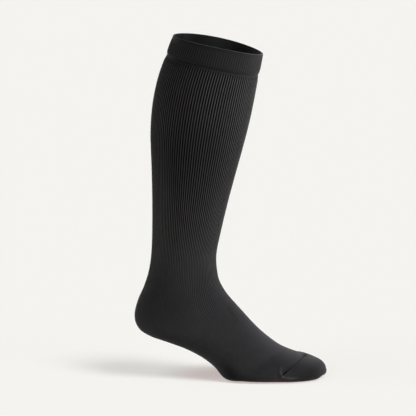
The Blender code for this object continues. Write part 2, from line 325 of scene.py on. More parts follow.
to_seam = along - along[SEAM_ROW]       # millimetres past the seam along each wale
above_ear = (plain[:, :, 2] - EAR_LEVEL) / EAR_REACH
over_toes = smooth_step(above_ear, *GROOVE_SETS_IN)
at_end = bell(above_ear - 0.6, 1.3)
seam_dip = -SEAM_DEPTH * (1.0 + END_DEEPER * at_end) * bell(to_seam, SEAM_WIDTH)
lips = FOOT_LIP * bell(to_seam + LIP_AT, LIP_WIDTH) + TOE_LIP * bell(to_seam - LIP_AT, LIP_WIDTH)
seam_move = (seam_dip + lips) * over_toes
print("the seam dips by", round(-seam_move.min(), 2), "mm")

# %% The ears at its ends, and the knob and notch over the toes
EAR_HEIGHT, EAR_WIDTH, EAR_PAST = 1.5, 1.8, 0.6         # and how far past the seam it stands
FOOT_SIDE = (24.0, 34.0)  # millimetres from the middle plane where the side of the foot starts
KNOB_SIDE, KNOB_LONG = -6.0, 5.0        # its place across the foot, and half its length
KNOB_HEIGHT, KNOB_WIDTH, KNOB_BEFORE = 0.8, 1.3, 2.0    # and how far before the seam
NOTCH_DEPTH, NOTCH_WIDTH, NOTCH_PAST = 0.7, 1.0, 0.2

on_side = smooth_step(np.abs(plain[:, :, 1]), *FOOT_SIDE)
ear_move = EAR_HEIGHT * bell(to_seam - EAR_PAST, EAR_WIDTH) * bell(above_ear + 0.35, 0.7) * on_side
at_knob = bell(plain[:, :, 1] - KNOB_SIDE, KNOB_LONG) * (from_sole > 0.4)
knob = KNOB_HEIGHT * bell(to_seam + KNOB_BEFORE, KNOB_WIDTH)
notch = NOTCH_DEPTH * bell(to_seam - NOTCH_PAST, NOTCH_WIDTH)
knob_move = at_knob * (knob - notch)
print("the ears stand", round(ear_move.max(), 2), "mm and the knob", round(knob_move.max(), 2))

# %% [markdown]
# ## Creases
#
# A stocking that is filled out lies almost smooth. It creases only where it bends, in front of the
# ankle and above the heel, and where the seam gathers it. Each crease is given as a short curved line
# in the side view, with its own length, height and width, and it shows on the near side, the far side
# or both, with different shares. A cloth simulation would crease it anew each time.

# %% The table of creases
Crease = namedtuple("Crease", "x0 z0 x1 z1 x2 z2 height width near far")
CURLED_LIP = Crease(77.0, 19.5, 74.0, 12.0, 81.0, 8.0, 0.95, 1.35, 1.0, 0.9)      # behind the ear
UNDER_EAR = Crease(81.0, 8.0, 88.0, 6.6, 97.0, 6.6, 0.55, 1.4, 1.0, 0.7)
CREASES = (
    Crease(5.0, 99.0, 12.0, 88.5, 19.0, 75.0, -0.34, 3.0, 1.0, 0.6),          # in front of the ankle
    Crease(-3.0, 108.0, 3.0, 97.0, 6.0, 86.0, -0.22, 3.4, 0.8, 1.0),
    Crease(14.0, 95.0, 22.0, 82.0, 32.0, 71.0, 0.20, 3.6, 0.7, 0.9),
    Crease(-84.0, 128.0, -74.0, 123.0, -62.0, 124.0, -0.22, 3.2, 0.6, 1.0),   # above the heel
    Crease(-88.0, 116.0, -76.0, 109.0, -60.0, 108.0, -0.26, 3.8, 0.8, 0.5),
    Crease(-80.0, 93.0, -66.0, 94.0, -56.0, 99.0, -0.30, 6.0, 1.0, 0.6),
    CURLED_LIP,
    Crease(73.5, 18.0, 70.5, 11.0, 77.5, 5.8, -0.45, 1.6, 1.0, 0.8),          # the hollow beside it
    UNDER_EAR,
    Crease(60.0, 30.0, 68.0, 24.0, 73.0, 17.0, -0.18, 3.0, 0.5, 1.0),         # towards the toe seam
    Crease(92.0, 16.0, 97.0, 12.5, 104.0, 11.5, -0.20, 2.6, 0.7, 1.0),        # on the toe
)
print(len(CREASES), "creases")

# %% Press the creases into the cloth
CREASE_STEPS = 24         # points along the middle line of a crease
BOTH_SIDES = 8.0          # millimetres to each side of the middle plane where near turns to far


def crease_height(points, crease):
    """How far one crease moves each point: a soft ridge or trough that tapers to its two ends."""
    t = np.linspace(0.0, 1.0, CREASE_STEPS)
    x = (1 - t) ** 2 * crease.x0 + 2 * t * (1 - t) * crease.x1 + t ** 2 * crease.x2
    z = (1 - t) ** 2 * crease.z0 + 2 * t * (1 - t) * crease.z1 + t ** 2 * crease.z2
    strength = np.sin(np.pi * np.clip(t, 0.04, 0.96)) ** 0.6      # strong for most of its length
    best = np.zeros(points.shape[:2])
    for px, pz, weight in zip(x, z, strength):
        apart = np.hypot(points[:, :, 0] - px, points[:, :, 2] - pz)
        best = np.maximum(best, weight * bell(apart, crease.width))
    to_far = smooth_step(points[:, :, 1], -BOTH_SIDES, BOTH_SIDES)
    return crease.height * best * (crease.near * (1.0 - to_far) + crease.far * to_far)


crease_move = sum(crease_height(plain, crease) for crease in CREASES)
moves = rib_move + neck_move + seam_move + ear_move + knob_move + crease_move
cloth = plain + outwards * moves[:, :, None]
print("creases from", round(crease_move.min(), 2), "to", round(crease_move.max(), 2), "mm")

# %% [markdown]
# ## The end of the toe, and smooth shading
#
# The tube ends in a small dome ahead of its last section. The leg, the foot and the toe are one knitted
# cloth but three pieces here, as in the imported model. Were each shaded alone, a line would show where
# they meet. The directions of shading are therefore worked out once on the whole net, and each piece
# takes its share of them.

# %% The rounded end of the toe
TIP_REACH = 2.6           # how far the end stands out past the last section
TIP_START = 32.0          # the slope in degrees that it takes over from the toe
TIP_ROWS = 7

ahead = outwards[-1].mean(axis=0)
ahead /= np.linalg.norm(ahead)
last_ring, middle = cloth[-1], cloth[-1].mean(axis=0)
first_turn = math.radians(TIP_START)
dome = []
for step in range(1, TIP_ROWS + 1):
    turn = first_turn + (0.5 * math.pi - first_turn) * step / TIP_ROWS
    shrink = math.cos(turn) / math.cos(first_turn)
    rise = TIP_REACH * (math.sin(turn) - math.sin(first_turn)) / (1.0 - math.sin(first_turn))
    dome.append(middle + (last_ring - middle) * shrink + rise * ahead)
cloth = np.concatenate((cloth, np.array(dome)))
print("the end closes in", TIP_ROWS, "rows of", cloth.shape[1], "points")

# %% Directions for smooth shading
def shading(points, distance):
    """Directions out of a net of points, from its slopes round and along."""
    round_way = np.roll(points, -1, axis=1) - np.roll(points, 1, axis=1)
    down = np.gradient(points, distance, axis=0)
    normal = np.cross(round_way, down)
    return normal / np.maximum(np.linalg.norm(normal, axis=2), 1e-9)[:, :, None]


along = down_each_wale(cloth)
shade_out = shading(cloth, along.mean(axis=1))
shade_out[-1] = ahead
print("net of", cloth.shape[0], "rows by", cloth.shape[1])

# %% [markdown]
# ## Sewing the net into a closed cloth
#
# Each piece is a thin closed wall: the fine outside, a plainer inside, and the edges between them. The
# mesh is made in code, because the ribs need exact numbers. It carries a UV map in which u counts
# the wales round the tube and v is real length along them, so a knit pattern follows the cloth as yarn
# does. A second attribute carries the painted shade and light of each point, for the tone of the yarn.

# %% Rings of points, and the faces between two of them
Ring = namedtuple("Ring", "points normals length shade")


def ring_of(points, normals, length, shade, every=1):
    """One ring in part coordinates, taking every second point where less is enough."""
    placed = (points[::every] - OPENING) * MM
    return Ring(placed, normals[::every], length[::every] * MM, shade[::every])


def bridge(a_start, a_count, b_start, b_count):
    """Faces between two rings. One may have half the points of the other, or be a single point."""
    faces = []
    for k in range(max(a_count, b_count)):
        after = (k + 1) % max(a_count, b_count)
        if a_count == b_count:
            faces.append((a_start + k, a_start + after, b_start + after, b_start + k))
        elif b_count == 1:
            faces.append((a_start + k, a_start + after, b_start))
        elif a_count == 1:
            faces.append((a_start, b_start + after, b_start + k))
        elif a_count == 2 * b_count and k % 2 == 0:
            half, half_after = b_start + k // 2, b_start + (k // 2 + 1) % b_count
            faces.append((a_start + k, a_start + k + 1, half))
            faces.append((a_start + k + 1, a_start + (k + 2) % a_count, half_after, half))
        elif b_count == 2 * a_count and k % 2 == 0:
            half, half_after = a_start + k // 2, a_start + (k // 2 + 1) % a_count
            faces.append((half, b_start + k + 1, b_start + k))
            faces.append((half, half_after, b_start + (k + 2) % b_count, b_start + k + 1))
    return faces


print("a ring of 4 points and one of 2 are joined by", len(bridge(0, 4, 4, 2)), "faces")

# %% The UV map of the knit
def map_knit(mesh, rings):
    """A UV map with the share of the way round as u, and metres down the wale as v."""
    wale = np.concatenate([np.arange(len(ring.points)) / len(ring.points) for ring in rings])
    length = np.concatenate([ring.length for ring in rings])
    corner = np.zeros(len(mesh.loops), np.int32)
    mesh.loops.foreach_get("vertex_index", corner)
    u, v = wale[corner], length[corner]
    sizes = np.zeros(len(mesh.polygons), np.int32)
    mesh.polygons.foreach_get("loop_total", sizes)
    face = np.repeat(np.arange(len(sizes)), sizes)
    highest = np.zeros(len(sizes))
    np.maximum.at(highest, face, u)
    u = np.where((highest[face] > 0.75) & (u < 0.25), u + 1.0, u)     # the last wale runs up to 1
    uv = mesh.uv_layers.new(name="knit")
    uv.data.foreach_set("uv", np.column_stack((u, v)).astype(np.float32).ravel())


print("each piece gets a UV map of its wales and courses")

# %% A closed cloth from rings
def knit(name, rings):
    """One closed cloth through the rings, back to the first one, with its UV map and its tone."""
    starts = np.concatenate(([0], np.cumsum([len(ring.points) for ring in rings])))
    faces = []
    for k in range(len(rings)):
        after = (k + 1) % len(rings)
        a_count, b_count = len(rings[k].points), len(rings[after].points)
        if max(a_count, b_count) > 1:
            faces += bridge(int(starts[k]), a_count, int(starts[after]), b_count)
    mesh = bpy.data.meshes.new(name)
    mesh.from_pydata(np.vstack([ring.points for ring in rings]).tolist(), [], faces)
    mesh.shade_smooth()
    tone = mesh.attributes.new("shade", "FLOAT", "POINT")
    tone.data.foreach_set("value", np.concatenate([ring.shade for ring in rings]).astype(np.float32))
    map_knit(mesh, rings)
    mesh.normals_split_custom_set_from_vertices(np.vstack([ring.normals for ring in rings]).tolist())
    piece = bpy.data.objects.new(name, mesh)
    bpy.context.collection.objects.link(piece)
    print(name, sum(len(face) - 2 for face in faces), "triangles")
    return piece


print("pieces are knitted into", bpy.context.collection.name)

# %% [markdown]
# ## The tone of the yarn, with painted light and shade
#
# All of it is one dye bath, but it doesn't look so. Less light reaches the bottom of a groove, the tight
# rows under the band and the drawn loops of the seam, so painted shade darkens the tone there. Soft
# patches of painted shade lie on the calf, in front of the ankle and round the heel, and painted shade
# lies under the sole, the ball and the toe. The curled folds by the toe seam carry a painted highlight.
# The foot and the toe are darker all over than the leg. An image could carry this, but then it would
# slide and blur. A number on each point keeps it tied to the knit: 0 is the yarn's own colour and 1 is
# the dark of a deep groove.

# %% Painted shade in the grooves, under the band and in the seam
GROOVE_DARK = (0.10, 0.70)              # a groove goes from pale to dark between these shares of its depth
TONE_FADE = (6.5, 10.5)   # the places on the table over which the grooves lose their dark
TONE_KEPT = 0.3           # what is left of it on the foot
NECK_DARK, NECK_PALER = 0.80, 0.45      # right under the band, and how much of it is lost below
NECK_ROWS_PALE, NECK_ROWS_END = (1.0, 5.0), (4.0, 9.0)  # millimetres under the band

groove_shade = smooth_step(groove, *GROOVE_DARK) * rib_share
groove_shade = groove_shade * (1.0 - (1.0 - TONE_KEPT) * smooth_step(PLACES, *TONE_FADE))[:, None]
groove_shade = groove_shade * (0.85 + 0.15 * smooth_step(from_sole, 0.08, 0.22))      # a little less at the back
down_leg = along[:len(PLACES)]
neck_shade = NECK_DARK - NECK_PALER * smooth_step(down_leg, *NECK_ROWS_PALE)
neck_shade = neck_shade * (1.0 - smooth_step(down_leg, *NECK_ROWS_END))
print("the grooves are", round(groove_shade[:LEG_ROWS].max(), 2), "dark on the leg")

# %% The painted shade of the seam, and all of it together
SEAM_DARK, END_DARK, TIGHT_DARK = 0.34, 0.90, 0.40      # along it, at its ends, and at a tight spot
TIGHT_AT, TIGHT_WIDTH = 0.40, 0.02      # the place of that spot, as a share of the girth from the sole
NOTCH_DARK, NOTCH_DARK_WIDTH = 1.6, 1.7

seam_darkness = SEAM_DARK + END_DARK * at_end + TIGHT_DARK * bell(from_sole - TIGHT_AT, TIGHT_WIDTH)
seam_shade = seam_darkness * bell(to_seam, 1.0 + 0.3 * at_end) * over_toes
seam_shade = seam_shade + NOTCH_DARK * at_knob * bell(to_seam - NOTCH_PAST, NOTCH_DARK_WIDTH)
tone = np.clip(np.maximum(groove_shade, np.maximum(neck_shade, seam_shade)), 0.0, 1.0)
tone = np.vstack((tone, np.zeros((TIP_ROWS, ROUND))))
print("the seam is", round(seam_shade[SEAM_ROW].mean(), 2), "dark on the mean")

# %% Soft patches of painted shade
# Place and reach are rows of the table, around and width are shares of the girth, from the sole or back.
# Each patch is painted shade where less light falls, and share is how much it darkens the cloth.
ShadePatch = namedtuple("ShadePatch", "place reach around width share")
SHADE_PATCHES = (
    ShadePatch(1.6, 2.2, 0.10, 0.07, 0.42),      # down the back of the calf
    ShadePatch(4.5, 1.6, 0.20, 0.25, 0.45),      # below the calf
    ShadePatch(9.3, 1.2, 0.42, 0.14, 0.30),      # in front of the ankle
    ShadePatch(11.5, 3.2, 0.47, 0.13, 0.36),
    ShadePatch(9.2, 1.3, 0.11, 0.09, 0.18),      # above the heel
    ShadePatch(11.8, 1.8, 0.20, 0.09, 0.26),     # the sides of the heel pocket
    ShadePatch(12.2, 1.8, 0.00, 0.06, 0.60),     # the back of the heel
    ShadePatch(14.2, 1.3, 0.10, 0.07, 0.22),
)
LEG_GROUND, FOOT_GROUND = 0.15, 0.57    # the foot and the toe are darker all over than the leg
LEG_TO_FOOT = (7.2, 11.0)      # the places on the table over which the leg turns to the foot

every_place = np.concatenate((PLACES, np.full(TIP_ROWS, float(LAST_PLACE))))[:, None]
pale = 1.0 - LEG_GROUND - (FOOT_GROUND - LEG_GROUND) * smooth_step(every_place, *LEG_TO_FOOT)
for dye_and_shade in SHADE_PATCHES:
    patch = bell(every_place - dye_and_shade.place, dye_and_shade.reach) * bell(from_sole - dye_and_shade.around, dye_and_shade.width)
    pale = pale * (1.0 - dye_and_shade.share * patch)
print(len(SHADE_PATCHES), "patches; the pale share runs from", round(pale.min(), 2), "to", round(pale.max(), 2))

# %% Painted shade under the sole, the ball and the toe, a darker toe, and a painted highlight on the folds
SOLE_SHADE, MID_SOLE_SHADE, BALL_SHADE = 0.36, 0.30, 0.74
TOE_GROUND, FRONT_GROUND, UNDER_TOE_SHADE = 0.12, 0.50, 0.50
FOLD_HIGHLIGHT = 0.92          # a painted highlight on the curled folds behind and under the ear

# Painted shade under the sole and the back of the heel, and under the ball.
sole = SOLE_SHADE * (1.0 - smooth_step(from_sole, 0.10, 0.28))
sole = sole + MID_SOLE_SHADE * (1.0 - smooth_step(from_sole, 0.02, 0.13))
pale = pale * (1.0 - sole * smooth_step(every_place, 12.0, 16.0))
under_ball = smooth_step(every_place, 17.0, 19.0) * (1.0 - 0.6 * smooth_step(every_place, 20.0, 21.5))
pale = pale * (1.0 - BALL_SHADE * (1.0 - smooth_step(from_sole, 0.15, 0.23)) * under_ball)
# A painted highlight on the curled folds behind and under the ear.
whole_net = np.concatenate((plain, np.repeat(plain[-1:], TIP_ROWS, axis=0)))
painted_fold_highlight = sum(np.abs(crease_height(whole_net, fold)) / fold.height for fold in (CURLED_LIP, UNDER_EAR))
pale = pale + (FOLD_HIGHLIGHT - pale) * np.clip(painted_fold_highlight, 0.0, 1.0)
# The toe is darker all over and towards its front, with painted shade under it.
front = FRONT_GROUND * smooth_step(every_place, 22.3, 24.3)
under_toe_shade = UNDER_TOE_SHADE * (1.0 - smooth_step(from_sole, 0.18, 0.24)) * smooth_step(every_place, 22.6, 23.4)
toe_pale = pale * (1.0 - TOE_GROUND) * (1.0 - front) * (1.0 - under_toe_shade)
print("the toe's pale share is", round(toe_pale[-1].min(), 2), "at its end")

# %% [markdown]
# ## The leg, the foot and the toe
#
# The real cloth is about a millimetre thick. The inside follows the plain form without the ribs, and it
# is drawn in with the neck and the seam only, so the wall keeps its thickness there. The net could be
# thickened by Solidify, but that would repeat every rib inside, where nobody sees it.

# %% Rings of the outside and the inside
HALF_FROM = 12.5          # below this place four points a rib are enough
INSIDE_TONE = 0.82        # little light comes inside
inside = plain + outwards * (neck_move + np.minimum(seam_move, 0.0))[:, :, None]


def outer_rings(first, last, pale_share):
    """The fine outside of some rows of the net, from the first to the last."""
    rings = []
    for row in range(first, last + 1):
        every = 1 if row < len(PLACES) and PLACES[row] < HALF_FROM else 2
        shade = 1.0 - (1.0 - tone[row]) * pale_share[row]
        rings.append(ring_of(cloth[row], shade_out[row], along[row], shade, every))
    return rings


def inner_rings(first, last, wall, step):
    """The plain inside of the same rows, coarser, and back from the last to the first."""
    rings = []
    for row in reversed(list(range(first, last, step)) + [last]):
        points = inside[row] - outwards[row] * wall
        rings.append(ring_of(points, -outwards[row], along[row], np.full(ROUND, INSIDE_TONE), 2))
    return rings


print("rings go to half the points at row", int(np.searchsorted(PLACES, HALF_FROM)))

# %% Cut the net into its three pieces
LEG_CLOTH, FOOT_CLOTH = 1.4, 1.2
LEG_INNER_STEP, FOOT_INNER_STEP = 4, 3  # every so many rows are enough inside

leg_last, toe_last = LEG_ROWS - 1, len(PLACES) - 1
leg_inside = inner_rings(0, leg_last, LEG_CLOTH, LEG_INNER_STEP)
leg = knit("ribbed_leg", outer_rings(0, leg_last, pale) + leg_inside)
foot_inside = inner_rings(leg_last, SEAM_ROW, FOOT_CLOTH, FOOT_INNER_STEP)
foot = knit("plain_foot", outer_rings(leg_last, SEAM_ROW, pale) + foot_inside)

end, end_length = cloth[-1][:1] - OPENING, along[-1][:1] * MM
tip = Ring(end * MM, ahead[None, :], end_length, np.zeros(1))
inner_tip = Ring((end - FOOT_CLOTH * ahead) * MM, -ahead[None, :], end_length, np.zeros(1))
toe_outside = outer_rings(SEAM_ROW, len(cloth) - 2, toe_pale) + [tip, inner_tip]
toe = knit("toe_pocket", toe_outside + inner_rings(SEAM_ROW, toe_last, FOOT_CLOTH, FOOT_INNER_STEP))

# %% [markdown]
# ## The turned band
#
# The band is the same knit folded over on itself: a soft roll at the rim, two layers of cloth, and a
# lower edge that steps in to the leg. Its profile is a short table of how far down and how far out the
# cloth goes, swept round between the rim and the band's foot. The turned side is the reverse of the
# knit, so it is smoother: the ribs come up only towards its lower edge. Two dense layers let nothing
# show through, so the band is darker than the leg. Painted shade darkens its back, its lower edge, its
# grooves, the far and back stretches of the rim, and most of the inside. A painted highlight runs along
# the near rim, and painted light lifts the inside towards the front.

# %% The band's profile
BAND_HEIGHT = 24.0
FOLD_OUT, FOLD_IN, FOLD_RADIUS = 0.55, -1.55, 1.05      # the roll at the rim, from outside to inside
FOLD_TURN = 15            # degrees between its rows
Profile = namedtuple("Profile", "down out")             # a share of the height, and millimetres outwards
OUTSIDE = (
    Profile(0.044, 0.55), Profile(0.080, 0.60), Profile(0.140, 0.64), Profile(0.220, 0.66),
    Profile(0.320, 0.70), Profile(0.420, 0.72), Profile(0.520, 0.72), Profile(0.620, 0.70),
    Profile(0.700, 0.66), Profile(0.760, 0.60), Profile(0.810, 0.50), Profile(0.850, 0.38),
    Profile(0.885, 0.22), Profile(0.915, 0.04), Profile(0.940, -0.15), Profile(0.960, -0.34),
    Profile(0.977, -0.54), Profile(0.990, -0.74), Profile(0.998, -0.95),
)
INSIDE = (
    Profile(0.998, -1.60), Profile(0.900, -1.60), Profile(0.750, -1.60), Profile(0.550, -1.60),
    Profile(0.350, -1.60), Profile(0.180, -1.58), Profile(0.090, -1.56),
)
fold = []
for degrees in range(180, 0, -FOLD_TURN):
    turn = math.radians(degrees)
    out = 0.5 * (FOLD_OUT + FOLD_IN) + FOLD_RADIUS * math.cos(turn)
    fold.append(Profile(FOLD_RADIUS * (1.0 - math.sin(turn)) / BAND_HEIGHT, out))
profile = fold + list(OUTSIDE) + list(INSIDE)
print("the band's profile has", len(profile), "rows,", len(fold), "of them round the fold")

# %% The band's cloth
BAND_ROUND = 4 * RIBS
BAND_RIB = 0.56           # how deep its ribs are at their deepest
RIBS_RISE, RIBS_END = (0.15, 0.45), (0.88, 0.95)        # shares of the height

downs = np.array([row.down for row in profile])
outs = np.array([row.out for row in profile])
rows = np.arange(len(profile))
on_fold = rows < len(fold)
is_outer = (rows >= len(fold)) & (rows < len(fold) + len(OUTSIDE))
band_plain, band_out = net(downs, BAND_ROUND)
band_rib = smooth_step(downs, *RIBS_RISE) * (1.0 - smooth_step(downs, *RIBS_END)) * is_outer
band_groove = 0.5 - 0.5 * np.cos(2.0 * np.pi * RIBS * np.arange(BAND_ROUND) / BAND_ROUND)
band_move = outs[:, None] - BAND_RIB * band_rib[:, None] * band_groove
band = band_plain + band_out * band_move[:, :, None]
band_along = down_each_wale(band)
band_shading = shading(band, band_along.mean(axis=1))
middle_row = len(fold) + 5      # a row near the middle of its height
band_shading *= np.sign((band_shading[middle_row] * band_out[middle_row]).sum())
print("the band is", round(2.0 * band[middle_row, :, 1].max(), 1), "mm wide")

# %% The band's tone, with painted light and shade
# The band's own dark tone outside, a painted highlight along the rim, and painted shade inside.
BAND_GROUND, RIM_HIGHLIGHT, INSIDE_SHADE = 0.76, 0.66, 0.90
# Painted shade in the grooves and on the lower edge, darker where there are no ribs, and painted shade at the
# back.
BAND_GROOVE_SHADE, EDGE_SHADE, PLAIN_TONE, BACK_SHADE = 0.76, 0.55, 0.52, 0.28
RIM_FAR_SHADE, RIM_BACK_SHADE, RIM_NEAR_SHADE = 0.20, 0.28, 0.24          # painted shade on the far stretch of the rim, at its back, and on the near side at the back
INSIDE_BACK_SHADE, INSIDE_FRONT_LIGHT = 0.08, 0.73  # painted shade inside at the back, and painted light inside in front

band_x, band_y = band_plain[:, :, 0], band_plain[:, :, 1]
# Painted shade on the lower edge and at the back, and darker where the band has no ribs.
lower_edge_shade = 1.0 - EDGE_SHADE * smooth_step(downs, 0.84, 0.98) * is_outer
plain_part = 1.0 - PLAIN_TONE * (1.0 - band_rib) * (1.0 - smooth_step(downs, 0.85, 0.95))
band_pale = (1.0 - BAND_GROUND) * (lower_edge_shade * plain_part)[:, None]
band_pale = band_pale * (1.0 - BACK_SHADE * (1.0 - smooth_step(band_x, -58.0, -28.0)))
outer_tone = 1.0 - band_pale * (1.0 - BAND_GROOVE_SHADE * band_rib[:, None] * band_groove)
# Painted shade inside, deepest at the back, and painted light inside towards the front.
inside_light_and_shade = INSIDE_SHADE + INSIDE_BACK_SHADE * (1.0 - smooth_step(band_x, -48.0, -38.0))
inside_light_and_shade = inside_light_and_shade - INSIDE_FRONT_LIGHT * smooth_step(band_x, -30.0, 45.0)
# A painted highlight along the rim, with painted shade on its far stretch, at the back and on the near side
# at the back.
rim_highlight_and_shade = RIM_HIGHLIGHT + RIM_FAR_SHADE * smooth_step(band_y, -20.0, 30.0)
rim_highlight_and_shade = rim_highlight_and_shade + RIM_BACK_SHADE * (1.0 - smooth_step(band_x, -50.0, -41.0))
near_side = 1.0 - smooth_step(band_y, -30.0, -5.0)
rim_highlight_and_shade = rim_highlight_and_shade + RIM_NEAR_SHADE * near_side * (1.0 - smooth_step(band_x, -46.0, -18.0))
band_tone = np.where(is_outer[:, None], outer_tone, np.where(on_fold[:, None], rim_highlight_and_shade, inside_light_and_shade))
band_tone = np.clip(band_tone, 0.0, 1.0)
print("the band's tone runs from", round(band_tone.min(), 2), "to", round(band_tone.max(), 2))

# %% Knit the band
welt = knit("turned_band", [ring_of(*ring) for ring in zip(band, band_shading, band_along, band_tone)])

# %% [markdown]
# ## The linking stitches
#
# Linking hooks one loop of the foot's edge and one of the toe's edge onto each point of a dial and binds
# them with a thread. What shows is a row of tiny loops deep in the seam. One loop is modelled, as a
# ring of thread pulled long across the seam, and copied to each place from ear to ear.

# %% One loop of thread
THREAD = 0.17             # half the thread's thickness, in millimetres
LOOP_SIZE = 0.62          # half a loop's size along the seam
LOOP_STRETCH = 1.45       # how much longer it is across the seam

bpy.ops.object.select_all(action="DESELECT")
bpy.ops.mesh.primitive_torus_add(
    major_radius=LOOP_SIZE * MM, minor_radius=THREAD * MM, major_segments=12, minor_segments=6
)
one_loop = bpy.context.object
one_loop.name = "linking_stitches"
bpy.ops.object.mode_set(mode="EDIT")
bpy.ops.mesh.select_all(action="SELECT")
bpy.ops.transform.resize(value=(LOOP_STRETCH, 1.0, 1.0))
bpy.ops.object.mode_set(mode="OBJECT")
bpy.ops.object.shade_smooth()
print("a loop is", [round(size / MM, 2) for size in one_loop.dimensions], "mm")

# %% The row of loops along the seam
LOOP_PITCH = 1.35
LOOP_LIFT = 0.08          # how far the loops lie above the bottom of the seam
LOOP_SLANT = 0.35         # how far each loop leans along the seam
ABOVE_EAR = 0.15          # the row starts and ends this far above the ears

seam_line, seam_out = cloth[SEAM_ROW], outwards[SEAM_ROW]
seam_across = cloth[SEAM_ROW + 2] - cloth[SEAM_ROW - 2]
over = np.nonzero(above_ear[SEAM_ROW] > ABOVE_EAR)[0]
every = max(1, round(LOOP_PITCH / np.linalg.norm(plain[SEAM_ROW][over[1]] - plain[SEAM_ROW][over[0]])))
stitches = [one_loop]
for _ in over[every::every]:
    stitches.append(one_loop.copy())
    stitches[-1].data = one_loop.data.copy()
    bpy.context.collection.objects.link(stitches[-1])
for piece, k in zip(stitches, over[::every]):
    up = Vector(seam_out[k])
    across = Vector(seam_across[k]).normalized()
    across = (across + LOOP_SLANT * up.cross(across).normalized()).normalized()
    turned = Matrix((across, up.cross(across).normalized(), up)).transposed().to_4x4()
    place = Vector((seam_line[k] - OPENING + LOOP_LIFT * seam_out[k]) * MM)
    piece.matrix_world = Matrix.Translation(place) @ turned
print(len(stitches), "stitches, one at every", every, "points of the seam")

# %% Join the loops into one thread
bpy.context.view_layer.update()
bpy.ops.object.select_all(action="DESELECT")
for piece in stitches:
    piece.select_set(True)
bpy.context.view_layer.objects.active = one_loop
bpy.ops.object.join()
bpy.ops.object.transform_apply(location=True, rotation=True, scale=True)
print("joined into", one_loop.name)

# %% [markdown]
# ## The knit finishes
#
# Circular-knitted nylon and elastane, dyed charcoal black. Textured nylon yarn scatters light among many
# fine filaments, so the cloth is matt when seen straight on and has a soft pale sheen where it turns
# away. The V of each stitch is drawn as a bump that follows the UV map: three wales to a rib, and
# courses of 0.75 mm, which is a little coarser than the real 0.5 mm so that it shows. The V is a sum of
# a few small steps of maths, so it stays sharp at any size, where an image of a knit would blur.

# %% Helpers for materials
def linear(hex_colour):
    """An sRGB hex colour as linear red, green, blue and alpha."""
    values = [int(hex_colour[k:k + 2], 16) / 255.0 for k in (1, 3, 5)]
    return (*[v / 12.92 if v <= 0.04045 else ((v + 0.055) / 1.055) ** 2.4 for v in values], 1.0)


def add_node(material, kind, settings=(), values=(), links=()):
    """A node with its settings, the values of its sockets, and links from other nodes' outputs."""
    tree = material.node_tree
    node = tree.nodes.new(kind)
    for name, value in dict(settings).items():
        setattr(node, name, value)
    for socket, value in dict(values).items():
        node.inputs[socket].default_value = value
    for socket, output in dict(links).items():
        tree.links.new(output, node.inputs[socket])
    return node


print("half grey as a linear value:", round(linear("#808080")[0], 3))

# %% The steps that draw a stitch
WALES = 3.0 * RIBS
COURSE = 0.00075          # metres
V_SLANT = 1.1             # how far a stitch's two legs rise to the next course
V_PART, BEAT_PART = 0.7, 0.3            # how much of the height each of the two has
DYE_PART, FIBRE_PART = 0.24, 0.16       # how uneven the dye and the fibres are
EVEN_PART = 0.8           # the rest, which keeps the mean brightness at 1
DYE_PATCH, FIBRE_PATCH = 0.011, 0.0009  # the sizes of that, in metres

# A row is one step: its name, what it does, and one or two inputs, each an earlier step or a number.
STITCH_STEPS = (
    ("wales", "MULTIPLY", "u", WALES),
    ("wale", "FRACT", "wales"),
    ("off_middle", "SUBTRACT", "wale", 0.5),
    ("from_middle", "ABSOLUTE", "off_middle"),
    ("twice", "MULTIPLY", "from_middle", 4.0),
    ("off_leg", "SUBTRACT", "twice", 1.0),
    ("from_leg", "ABSOLUTE", "off_leg"),
    ("leg_of_v", "SUBTRACT", 1.0, "from_leg"),
    ("courses", "DIVIDE", "v", COURSE),
    ("slant", "MULTIPLY", "from_middle", V_SLANT),
    ("course", "SUBTRACT", "courses", "slant"),
    ("turn", "MULTIPLY", "course", 2.0 * math.pi),
    ("beat", "SINE", "turn"),
    ("v_part", "MULTIPLY", "leg_of_v", V_PART),
    ("beat_part", "MULTIPLY", "beat", BEAT_PART),
    ("yarn", "ADD", "v_part", "beat_part"),
    ("dye_part", "MULTIPLY", "dye_and_shade", DYE_PART),
    ("fibre_part", "MULTIPLY", "fibres", FIBRE_PART),
    ("uneven", "ADD", "dye_part", "fibre_part"),
    ("brightness", "ADD", "uneven", EVEN_PART),
)
print("a stitch takes", len(STITCH_STEPS), "steps, and is", COURSE / MM, "mm high")

# %% The stitch and its unevenness, as nodes
def draw_stitch(material):
    """Adds a node for each step of the stitch, and gives back the outputs of all of them by name."""
    uv = add_node(material, "ShaderNodeUVMap", {"uv_map": "knit"})
    way = add_node(material, "ShaderNodeSeparateXYZ", links={0: uv.outputs[0]})
    place = add_node(material, "ShaderNodeTexCoord").outputs["Object"]
    dye_and_shade = add_node(
        material, "ShaderNodeTexNoise",
        values={"Scale": 1.0 / DYE_PATCH, "Detail": 3.0, "Roughness": 0.55}, links={"Vector": place},
    )
    fibres = add_node(
        material, "ShaderNodeTexNoise",
        values={"Scale": 1.0 / FIBRE_PATCH, "Detail": 2.0}, links={"Vector": place},
    )
    made = {"u": way.outputs[0], "v": way.outputs[1], "dye_and_shade": dye_and_shade.outputs[0], "fibres": fibres.outputs[0]}
    for step, operation, *inputs in STITCH_STEPS:
        values = {k: value for k, value in enumerate(inputs) if isinstance(value, float)}
        links = {k: made[value] for k, value in enumerate(inputs) if isinstance(value, str)}
        made[step] = add_node(material, "ShaderNodeMath", {"operation": operation}, values, links).outputs[0]
    return made


print("patches of dye are", round(DYE_PATCH / MM, 1), "mm and of fibres", round(FIBRE_PATCH / MM, 1), "mm")

# %% A finish of nylon and elastane knit
GROOVE_YARN = "#020202"   # the same yarn where hardly any light reaches it
SHEEN_TINT = "#b8b8c0"    # the sheen of nylon is a little cooler than its dye


